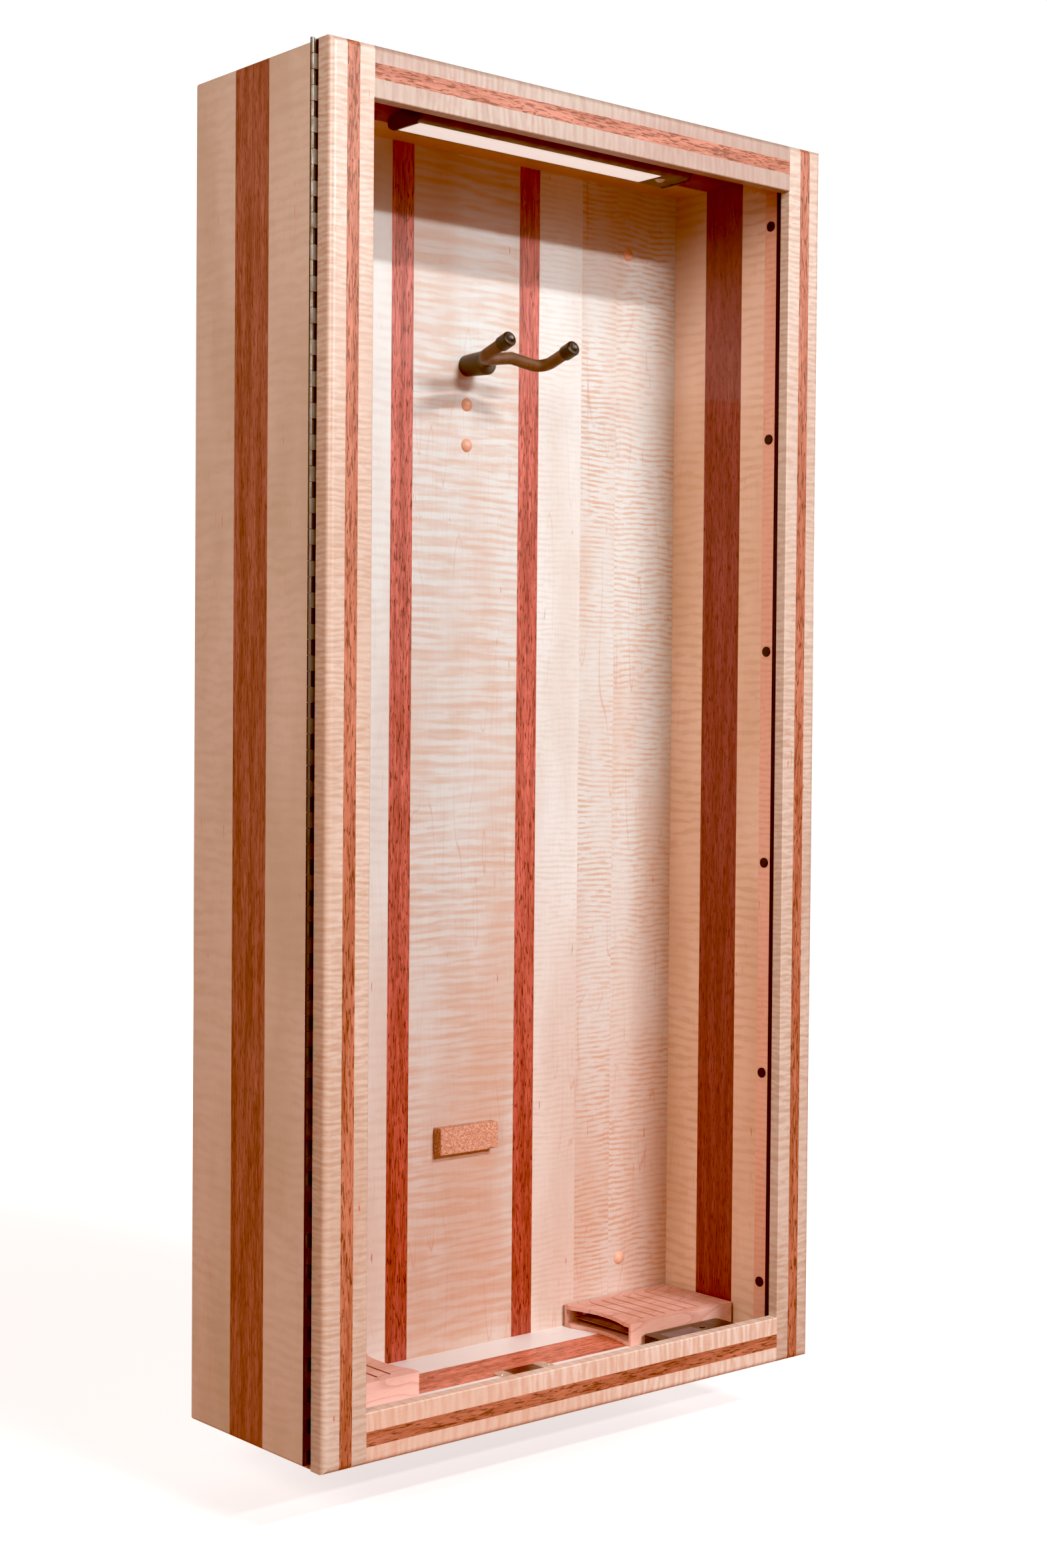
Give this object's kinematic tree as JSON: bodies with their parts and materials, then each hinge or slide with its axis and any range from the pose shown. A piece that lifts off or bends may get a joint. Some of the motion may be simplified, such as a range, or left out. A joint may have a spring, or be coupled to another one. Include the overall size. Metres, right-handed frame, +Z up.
{
  "type": "wall guitar display cabinet with hanger",
  "caption": "Wall-hung wooden display cabinet with a hinged glazed door and a padded swivelling yoke that hangs a guitar by its neck, lit and humidity controlled.",
  "frame": {"origin": "middle of the case's back face, on the wall", "axes": "+X to the right, -Y out of the wall through the door, +Z up"},
  "size_m": [0.5814, 0.198, 1.16],
  "materials": {
    "case_maple": "satin lacquered curly maple",
    "case_mahogany": "satin lacquered mahogany",
    "panel_maple_plain": "satin lacquered plain maple",
    "panel_maple_wavy": "satin lacquered wavy maple",
    "panel_maple_curled": "satin lacquered tightly curled maple",
    "panel_maple_fine": "satin lacquered finely curled maple",
    "panel_mahogany": "satin lacquered mahogany",
    "door_maple": "satin lacquered curly maple",
    "door_mahogany": "satin lacquered mahogany",
    "beech_button": "satin",
    "black_seal": "matte",
    "black_cover": "satin",
    "hinge_steel": "nickel plated",
    "screw_steel": "satin",
    "black_metal": "satin",
    "black_screw": "satin",
    "strip_steel": "satin",
    "rod_steel": "satin",
    "cork": "granular cork",
    "plate_metal": "brushed",
    "pin_metal": "polished",
    "light_body": "dark anodised satin",
    "light_cap": "satin",
    "light_diffuser": "frosted",
    "sensor_lens": "frosted",
    "sleeve_rubber": "satin",
    "cap_rubber": "satin",
    "door_glass": "clear",
    "cedar": "unfinished cedar",
    "pack_paper": "matte",
    "meter_case": "gloss",
    "meter_window": "gloss",
    "meter_button": "satin"
  },
  "bodies": {
    "cabinet": {"side_left_maple": "case_maple", "side_left_stripe": "case_mahogany", "side_right_maple": "case_maple", "side_right_stripe": "case_mahogany", "top_maple": "case_maple", "top_stripe": "case_mahogany", "floor_maple": "case_maple", "floor_stripe": "case_mahogany", "back_board_left": "panel_maple_plain", "back_board_centre": "panel_maple_wavy", "back_board_plain": "panel_maple_plain", "back_board_curl": "panel_maple_curled", "back_board_fine": "panel_maple_fine", "back_stripes": "panel_mahogany", "screw_buttons": "beech_button", "strike_strip": "case_maple", "strike_seal": "black_seal", "strike_covers": "black_cover", "hinge_leaf_case": "hinge_steel", "hinge_pin": "hinge_steel", "hinge_screws_case": "screw_steel", "hanger_collar": "black_metal", "hanger_grub_screw": "black_screw", "light_magnet_strip": "strip_steel", "rest_pad": "cork", "name_plate": "plate_metal", "plate_pins": "pin_metal"},
    "door": {"stile_left_maple": "door_maple", "stile_left_stripe": "door_mahogany", "stile_right_maple": "door_maple", "stile_right_stripe": "door_mahogany", "rail_top_maple": "door_maple", "rail_top_stripe": "door_mahogany", "rail_bottom_maple": "door_maple", "rail_bottom_stripe": "door_mahogany", "hinge_leaf_door": "hinge_steel", "hinge_screws_door": "screw_steel", "door_glass": "door_glass", "glass_beads": "door_maple"},
    "yoke": {"yoke_rod": "rod_steel", "yoke_sleeve": "sleeve_rubber", "yoke_caps": "cap_rubber"},
    "light_bar": {"light_housing": "light_body", "light_diffuser": "light_diffuser", "light_end_caps": "light_cap", "light_sensor": "sensor_lens"},
    "right_holder": {"holder_right": "cedar"},
    "left_holder": {"holder_left": "cedar"},
    "right_pack": {"pack_right": "pack_paper"},
    "left_pack": {"pack_left": "pack_paper"},
    "hygrometer": {"hygrometer_case": "meter_case", "hygrometer_window": "meter_window"},
    "hygrometer_press": {"hygrometer_button": "meter_button"}
  },
  "joints": [
    {"name": "door_hinge", "type": "hinge", "parent": "cabinet", "child": "door", "pos_m": [-0.2921, -0.17875, 0], "axis": [0, 0, -1], "range_deg": [0, 180]},
    {"name": "yoke_swivel", "type": "hinge", "parent": "cabinet", "child": "yoke", "pos_m": [0, -0.0465, 0.3665], "axis": [0, -1, 0], "range_deg": [-45, 45]},
    {"name": "light_pull_off", "type": "slide", "parent": "cabinet", "child": "light_bar", "axis": [0, 0, -1], "range_m": [0, 0.015]},
    {"name": "right_holder_lift", "type": "slide", "parent": "cabinet", "child": "right_holder", "axis": [0, 0, 1], "range_m": [0, 0.03]},
    {"name": "left_holder_lift", "type": "slide", "parent": "cabinet", "child": "left_holder", "axis": [0, 0, 1], "range_m": [0, 0.03]},
    {"name": "right_pack_draw", "type": "slide", "parent": "right_holder", "child": "right_pack", "axis": [-1, 0, 0], "range_m": [0, 0.11]},
    {"name": "left_pack_draw", "type": "slide", "parent": "left_holder", "child": "left_pack", "axis": [1, 0, 0], "range_m": [0, 0.11]},
    {"name": "hygrometer_lift", "type": "slide", "parent": "cabinet", "child": "hygrometer", "axis": [0, 0, 1], "range_m": [0, 0.02]},
    {"name": "hygrometer_button_press", "type": "slide", "parent": "hygrometer", "child": "hygrometer_press", "axis": [0, 0, -1], "range_m": [0, 0.0004], "stiffness_N_per_m": 200}
  ]
}
